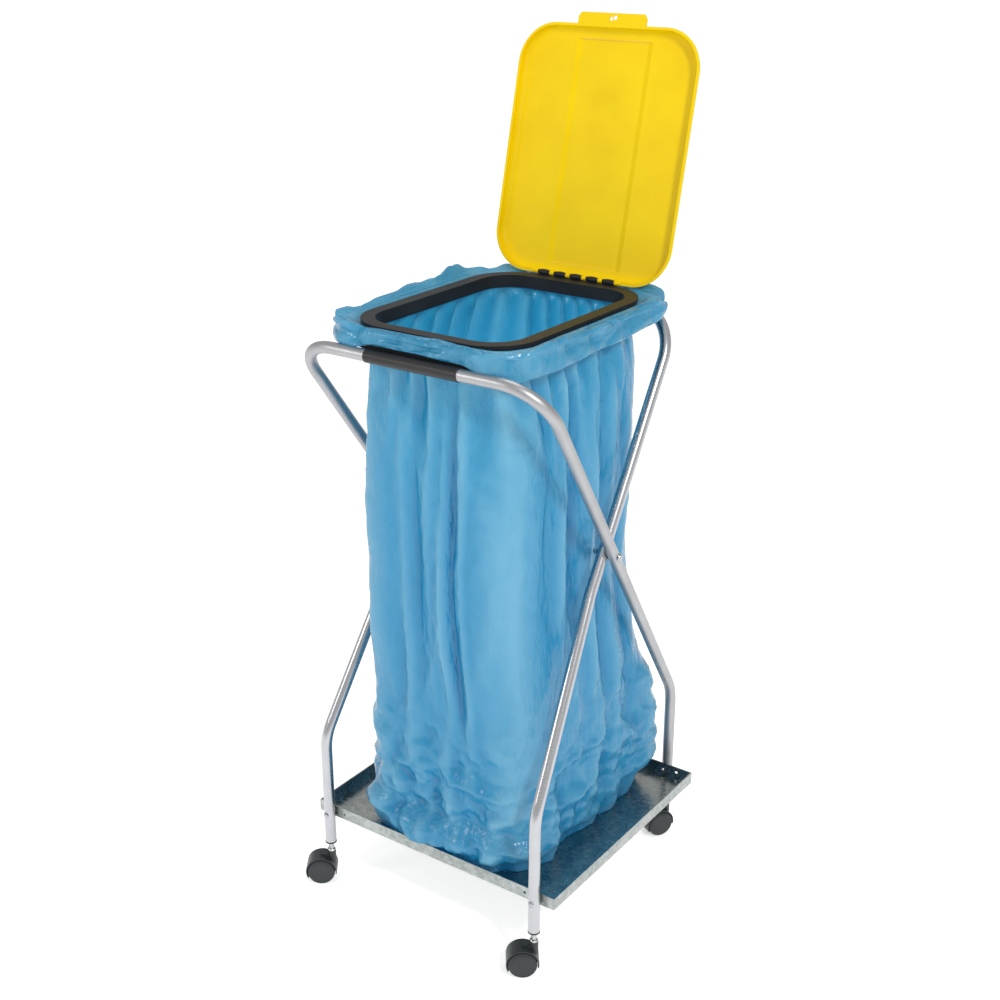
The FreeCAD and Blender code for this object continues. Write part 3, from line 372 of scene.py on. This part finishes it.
def body_push(share, height):
    """The film's distance outside its level, in metres, at each share and height."""
    gather = 0.013 * smooth(height, 0.84, 1.04) * smooth(height, 1.052, 1.035)
    push = gather * (pleats(share, height, 26, 0.7, 1.4, 2.0) - 0.45)
    push += 0.005 * smooth(height, 1.05, 0.98) * (pleats(share, height, 9, 1.1, 1.6, 5.0) - 0.4)
    push += 0.006 * smooth(height, 1.05, 0.95) * wander(share, height, 5, 2.2, 9.0)
    sharp = creases(share, height, 0.075, 5.0, 3.0) - creases(share, height, 0.060, 6.0, 13.0)
    push += 0.007 * smooth(height, 1.04, 0.98) * sharp
    fine = creases(share, height, 0.030, 2.0, 8.0) - creases(share, height, 0.024, 2.0, 18.0)
    push += 0.0022 * smooth(height, 1.05, 1.00) * fine
    for place, width, depth, top, bottom in STRONG:
        here = place + fold_drift * wander(share, height, 2, 1.8, 11.0 + place)
        off = np.abs((share - here + 0.5) % 1.0 - 0.5) / width
        strength = smooth(height, bottom, bottom + 0.16) * smooth(height, top, top - 0.10)
        push += fold_size * depth * strength * np.exp(-off ** 1.4)
    slack = smooth(height, 0.50, 0.22)
    facet = creases(share, height, 0.120, 0.9, 21.0) - creases(share, height, 0.095, 0.8, 25.0)
    finer = creases(share, height, 0.050, 0.8, 31.0) - creases(share, height, 0.042, 0.9, 35.0)
    push += slack * (0.024 * facet + 0.0100 * finer)
    corner = np.exp(-((share - 0.465) / 0.022) ** 2)
    push += 0.024 * corner * smooth(height, 0.48, 0.32) * smooth(height, 0.15, 0.24)
    front = np.exp(-(((share + 0.5) % 1.0 - 0.56) / 0.10) ** 2)
    heap = smooth(height, 0.205, 0.180) * smooth(height, 0.135, 0.160)
    tuck = np.exp(-((height - 0.215 - 0.02 * wander(share, height, 4, 0, 51.0)) / 0.012) ** 2)
    return push + front * (0.014 * heap - 0.016 * tuck)


print("push at the front, half way", body_push(np.array([0.08]), np.array([0.6])))

# %% [markdown]
# The cuff is folded loosely over the holder, so it puffs up and sags between the places where
# it is caught. Its path is a row of stations from the hem to the ring. Each station is a mix
# of the mouth's outline and the cuff's outline at a height of its own, and it is pushed about
# by noise, most at the loose middle and hardly at all under the ring.

# %% The cuff's stations
CUFF = [
    # how far out (0 at the mouth, 1 at the cuff's edge), height, looseness
    (0.90, 1.0490, 0.5), (0.96, 1.0478, 0.7), (0.99, 1.0500, 1.0), (0.98, 1.0548, 1.0),
    (0.93, 1.0566, 1.0), (0.90, 1.0600, 1.0), (0.955, 1.0640, 1.0), (0.92, 1.0690, 1.0),
    (0.82, 1.0702, 1.0), (0.73, 1.0680, 0.8), (0.66, 1.0712, 0.8), (0.58, 1.0716, 0.6),
    (0.51, 1.0684, 0.30),
    (0.42, 1.0662, 0.06), (0.28, 1.0660, 0.0), (0.17, 1.0690, 0.0), (0.115, 1.0709, 0.0),
    (0.060, 1.0704, 0.0), (0.010, 1.0680, 0.0), (0.0, 1.0600, 0.0), (0.0, 1.0500, 0.0),
]
CUFF_RISE = [(0.765, 0.026, 0.024), (0.84, 0.04, 0.010), (0.95, 0.035, 0.010), (0.47, 0.03, 0.006)]
CUFF_SAG = [(0.27, 0.06, 0.016), (0.185, 0.030, 0.014), (0.36, 0.04, 0.008)]
cuff_rows = 64
neck_gap = 0.0034
neck_points, _ = level(u, -mouth_half - neck_gap, mouth_half + neck_gap, mouth_front - neck_gap,
                       mouth_back + neck_gap, mouth_radius + neck_gap)
edge_points, edge_out = level(u, -0.193, 0.190, -0.2665, 0.2080, 0.062)


def bumps(table):
    """The sum of rounded bumps round the cuff, each with its share, width and height."""
    return sum(size * np.exp(-((u - place) / width) ** 2) for place, width, size in table)


def cuff_row(t):
    """One row of the cuff, for t from 0 at the hem to 1 below the ring."""
    stations = np.array(CUFF)
    s = np.linspace(0, 1, len(stations))
    out, height, loose = (np.interp(t, s, stations[:, k]) for k in range(3))
    flat = neck_points + (edge_points - neck_points) * out
    heights = np.full(columns, height)
    way = np.full(columns, t)
    puff = wander(u, way, 9, 3.0, 41.0) * 0.006 + wander(u, way, 24, 6.0, 43.0) * 0.0035
    ruck = creases(u, way * 0.12, 0.060, 0.7, 47.0) * 0.011
    ruck = ruck + creases(u, way * 0.12, 0.024, 0.8, 57.0) * 0.004
    hem = smooth(way, 0.30, 0.0)
    flat = flat + edge_out * (loose * (np.abs(puff) * 0.5 + ruck))[:, None]
    lift = bumps(CUFF_RISE) * (1 - hem)
    heights = heights + loose * (np.abs(puff) + lift + ruck * 0.5)
    over_bar = smooth(u, 0.0, 0.03) * smooth(u, 0.165, 0.135)
    hem_drop = hem * (0.011 - 0.009 * over_bar)
    heights = heights - loose * bumps(CUFF_SAG) * smooth(way, 0.34, 0.0) - hem_drop
    return np.column_stack([flat, heights])


print("the hem is at", np.round(cuff_row(0.0)[0], 3))

# %% [markdown]
# The film may not pass through the tubes beside it. A tube is a line with a radius, so any
# point that comes nearer than the radius and a little air is moved away from that line,
# towards the middle of the sack. The tray's floor and lips are plain limits. The shut
# lid presses the cuff flat, so the film eases off to a ceiling just below the lid's rim, and
# only stands higher beside the lid.

# %% Keep clear of the tubes, the tray and the lid
RUNS = [
    # the right-hand side's tubes and pivot, from one end to the other
    ((0.1985, 0.236, 0.0835), (0.1985, 0.236, 0.310)),
    ((0.1985, 0.236, 0.310), (0.240, -0.271, 1.033)),
    ((0.225, -0.260, 0.0835), (0.225, -0.260, 0.303)),
    ((0.225, -0.260, 0.303), (0.199, -0.063, 0.625)),
    ((0.199, -0.063, 0.625), (0.199, 0.197, 1.050)),
    ((0.178, -0.0265, 0.684), (0.199, -0.0265, 0.684)),
]
tube_room, reach = 0.0125, 0.03


def clear_of_tubes(points):
    """Moves points that lie too near a tube towards the sack's middle."""
    for a, b in [(np.array(a), np.array(b)) for a, b in RUNS]:
        for side in (1, -1):
            start, end = a * [side, 1, 1], b * [side, 1, 1]
            line = end - start
            t = np.clip(((points - start) @ line) / (line @ line), 0, 1)
            near = start + t[:, None] * line
            gap = np.linalg.norm(points - near, axis=1)
            beyond = (points[:, 0] - near[:, 0]) * side > 0
            short = np.where(beyond, tube_room + gap, tube_room - gap)
            move = (short > 0) & (gap < reach)
            points[move, 0] -= side * short[move]
    return points


lid_half, lid_front, lid_back = 0.1810, -0.2490, 0.1960
ceiling, give, climb = 1.0752, 0.0045, 1.5


def under_the_lid(points):
    """Eases points down to the ceiling, which climbs away from the lid's outline."""
    beside = np.maximum(np.abs(points[:, 0]) - lid_half,
                        np.maximum(lid_front - points[:, 1], points[:, 1] - lid_back))
    knee = ceiling - give + climb * np.maximum(beside, 0)
    over = np.maximum(points[:, 2] - knee, 0)
    points[:, 2] = np.minimum(points[:, 2], knee) + give * (1 - np.exp(-over / give))
    return points


floor_height, lip_height = 0.1326, 0.16
tray_half, tray_front, tray_back = 0.253, -0.2445, 0.2205
print("keeping", tube_room * 1000, "mm from the middle of each tube")

# %% [markdown]
# Now the rows are stacked: the cuff, the hanging body, and the bottom, where the film turns
# in and lies on the tray. Each row is joined to the next with four-sided faces, and the last
# closes on one point in the middle.

# %% Build the sack
body_rows, body_top, body_low = 180, 1.0485, 0.150
bottom_rows, round_share, round_in, drop_share = 26, 0.3, 0.10, 0.22
centre = np.array([0.0, -0.012])


def sack_rows():
    """All rows of points, from the hem of the cuff to the last before the middle."""
    rows = [cuff_row(t) for t in np.linspace(0, 1, cuff_rows)]
    for height in np.linspace(body_top, body_low, body_rows):
        flat, out = level(u, *[size_at(height, k) for k in range(1, 6)])
        push = body_push(u, np.full(columns, height))
        rows.append(np.column_stack([flat + out * push[:, None], np.full(columns, height)]))
    last = rows[-1].copy()
    for t in np.linspace(0.02, 1, bottom_rows)[:-1]:
        inward = 1 - round_in * sin(min(t, round_share) * pi / 2)
        if t >= round_share:
            inward *= (1 - t) / (1 - round_share)
        drop = body_low - (body_low - floor_height) * min(1.0, t / drop_share)
        flat = centre + (last[:, :2] - centre) * inward
        rows.append(np.column_stack([flat, np.full(columns, drop)]))
    return rows


rows = sack_rows()
points = under_the_lid(clear_of_tubes(np.vstack(rows)))
points[:, 0] = np.clip(points[:, 0], -tray_half, tray_half)
below_lip = points[:, 2] < lip_height
points[below_lip, 1] = np.clip(points[below_lip, 1], tray_front, tray_back)
points[:, 2] = np.maximum(points[:, 2], floor_height)
faces = []
for i in range(len(rows) - 1):
    for j in range(columns):
        k = (j + 1) % columns
        faces.append((i * columns + j, (i + 1) * columns + j, (i + 1) * columns + k,
                      i * columns + k))
hub = len(points)
points = np.vstack([points, [[*centre, floor_height]]])
last_row = (len(rows) - 1) * columns
faces += [(last_row + j, hub, last_row + (j + 1) % columns) for j in range(columns)]
sack_mesh = bpy.data.meshes.new("sack_film")
sack_mesh.from_pydata([tuple(p) for p in points], [], faces)
grid = points[:hub].reshape(len(rows), columns, 3)
# How far each point stands out from its neighbours, used for painted shade in the fold valleys and
# painted highlight on the ridges.
neighbours, fold_range, axis = 9, 0.020, [0, -0.03]
middle = sum(np.roll(grid, k, 1) for k in range(-neighbours, neighbours + 1))
middle = middle / (2 * neighbours + 1)
away = (np.linalg.norm(grid[..., :2] - axis, axis=2)
        - np.linalg.norm(middle[..., :2] - axis, axis=2))
painted_fold_shading = np.append(np.clip(0.5 + away.ravel() / fold_range, 0, 1), 0.5)
depth = sack_mesh.attributes.new("painted_fold_shading", "FLOAT", "POINT")
depth.data.foreach_set("value", painted_fold_shading)
sack = bpy.data.objects.new("sack_film", sack_mesh)
bpy.context.scene.collection.objects.link(sack)
print("the sack has", len(faces), "faces")

# %% [markdown]
# Sack film is blown polyethylene, a few hundredths of a millimetre thick and dyed blue. It is
# glossy, with rucks that catch the light, and it lets some light through, so a fold lit from
# behind glows. A plain shader is mixed with a translucent one for that, with the shine of the
# surface laid over both. The shine grows towards grazing sight, and is worked out from how
# the film faces, so that it is the same on both of its sides. Each point of the mesh keeps how
# far it stands out of or into a fold, and the blue is painted by that: a deeper blue in the
# valleys is painted shade and a paler blue on the ridges is painted highlight. The rucks are
# noise stretched down the sack, 26 mm and 9 mm wide, because such film creases along the
# way it hangs.

# %% Polyethylene film
def blown_film():
    """Thin blue film that shines and glows, with painted shade and highlight on its folds."""
    mat, tree, shader, output, place = start_material("polyethylene_film_blue_blown", IOR=1.51,
                                                      Roughness=0.5, Specular_IOR_Level=0.0)
    stretch = add(tree, "ShaderNodeMapping", {"Scale": (1.0, 1.0, 0.30)}, {"Vector": place})
    wide = add(tree, "ShaderNodeTexNoise", {"Scale": per_mm(26), "Detail": 4.0, "Distortion": 0.6},
               {"Vector": stretch.outputs[0]})
    ruck = add(tree, "ShaderNodeTexNoise", {"Scale": per_mm(9), "Detail": 3.0, "Distortion": 0.8},
               {"Vector": stretch.outputs[0]})
    depth = add(tree, "ShaderNodeAttribute", attribute_name="painted_fold_shading").outputs["Fac"]
    # Painted shade and highlight: a deeper blue in the fold valleys and a paler blue on the ridges.
    blue = spread(tree, depth, [(0.10, colour("#0C87B6")), (0.45, colour("#36A2CD")),
                                (0.95, colour("#78C4E1"))])
    tree.links.new(blue, shader.inputs["Base Color"])
    both = add(tree, "ShaderNodeMath", {1: 0.45}, {0: ruck.outputs["Fac"]}, operation="MULTIPLY")
    height = add(tree, "ShaderNodeMath", links={0: wide.outputs["Fac"], 1: both.outputs[0]},
                 operation="ADD")
    bump = add(tree, "ShaderNodeBump", {"Strength": 0.6, "Distance": 0.007},
               {"Height": height.outputs[0]})
    tree.links.new(bump.outputs[0], shader.inputs["Normal"])
    glow = add(tree, "ShaderNodeBsdfTranslucent", {"Color": colour("#3CADD8")},
               {"Normal": bump.outputs[0]})
    mixed = add(tree, "ShaderNodeMixShader", {0: 0.42}, {1: shader.outputs[0], 2: glow.outputs[0]})
    facing = add(tree, "ShaderNodeLayerWeight", {"Blend": 0.5}, {"Normal": bump.outputs[0]})
    grazing = add(tree, "ShaderNodeMath", {1: 5.0}, {0: facing.outputs["Facing"]},
                  operation="POWER")
    edge = add(tree, "ShaderNodeMath", {1: 0.80, 2: 0.055}, {0: grazing.outputs[0]},
               operation="MULTIPLY_ADD")
    shine = add(tree, "ShaderNodeBsdfGlossy", {"Roughness": 0.17}, {"Normal": bump.outputs[0]})
    coated = add(tree, "ShaderNodeMixShader",
                 links={0: edge.outputs[0], 1: mixed.outputs[0], 2: shine.outputs[0]})
    tree.links.new(coated.outputs[0], output.inputs["Surface"])
    return mat


film = blown_film()
sack_mesh.materials.append(film)
bpy.ops.object.select_all(action="DESELECT")
sack.select_set(True)
bpy.context.view_layer.objects.active = sack
bpy.ops.object.shade_smooth()
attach(sack, "stand")
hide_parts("sack")
print("the film's material is", film.name)

# %% [markdown]
# Goods for a catalogue are often stood on a white acrylic sheet that is lit from below, so
# that the ground stays white and shadows stay faint. Here the sheet gives off part of its
# light and reflects the rest. A lamp on the right makes the glints on film and tube, a
# weaker one opens the left side, and the view is shown without a film curve, so that white
# stays white.

# %% Ground and light
floor_mat, floor_tree, floor_shader, _, floor_place = start_material("opal_acrylic_backlit",
                                                                     Roughness=0.9)
paint = add(floor_tree, "ShaderNodeTexNoise", {"Scale": per_mm(400), "Detail": 3.0},
            {"Vector": floor_place})
floor_tree.links.new(spread(floor_tree, paint.outputs["Fac"],
                            [(0.3, colour("#F4F4F4")), (0.7, colour("#F6F6F6"))]),
                     floor_shader.inputs["Base Color"])
floor_shader.inputs["Emission Color"].default_value = colour("#FFFFFF")
floor_shader.inputs["Emission Strength"].default_value = 0.50
bpy.ops.mesh.primitive_plane_add(size=160, location=(0, 0, 0))
ground = bpy.context.object
ground.name = "floor"
ground.data.materials.append(floor_mat)
bpy.context.scene.view_settings.view_transform = "Standard"


def lamp(name, place, aim, size, power):
    """A round lamp at a place, turned towards the point it aims at."""
    light = bpy.data.lights.new(name, "AREA")
    light.shape, light.size, light.energy = "DISK", size, power
    made = bpy.data.objects.new(name, light)
    made.location = place
    made.rotation_euler = (Vector(aim) - Vector(place)).to_track_quat("-Z", "Y").to_euler()
    bpy.context.scene.collection.objects.link(made)
    return made


lamp("key_right", (2.3, -1.3, 2.7), (0, 0, 0.8), 0.5, 44)
lamp("fill_left", (-1.6, -2.6, 2.0), (0, 0, 0.7), 1.0, 17)
lamp("top", (-0.3, 0.8, 3.4), (0, 0, 0.6), 1.4, 14)
world = bpy.data.worlds.new("pale_room")
world.use_nodes = True
background = world.node_tree.nodes["Background"]
background.inputs["Color"].default_value = colour("#FFFFFF")
background.inputs["Strength"].default_value = 0.60
bpy.context.scene.world = world

# %% [markdown]
# The camera stands at the front right at a grown person's eye height, and looks a little down.

# %% Camera
eye = bpy.data.cameras.new("eye")
eye.lens, eye.sensor_width = 53.59, 36.0
camera = bpy.data.objects.new("camera", eye)
camera.location = (1.3616, -1.9642, 1.6846)
camera.rotation_euler = (radians(90 - 21.90), 0, radians(35.29))
bpy.context.scene.collection.objects.link(camera)
bpy.context.scene.camera = camera
print("camera at", [round(v, 3) for v in camera.location])
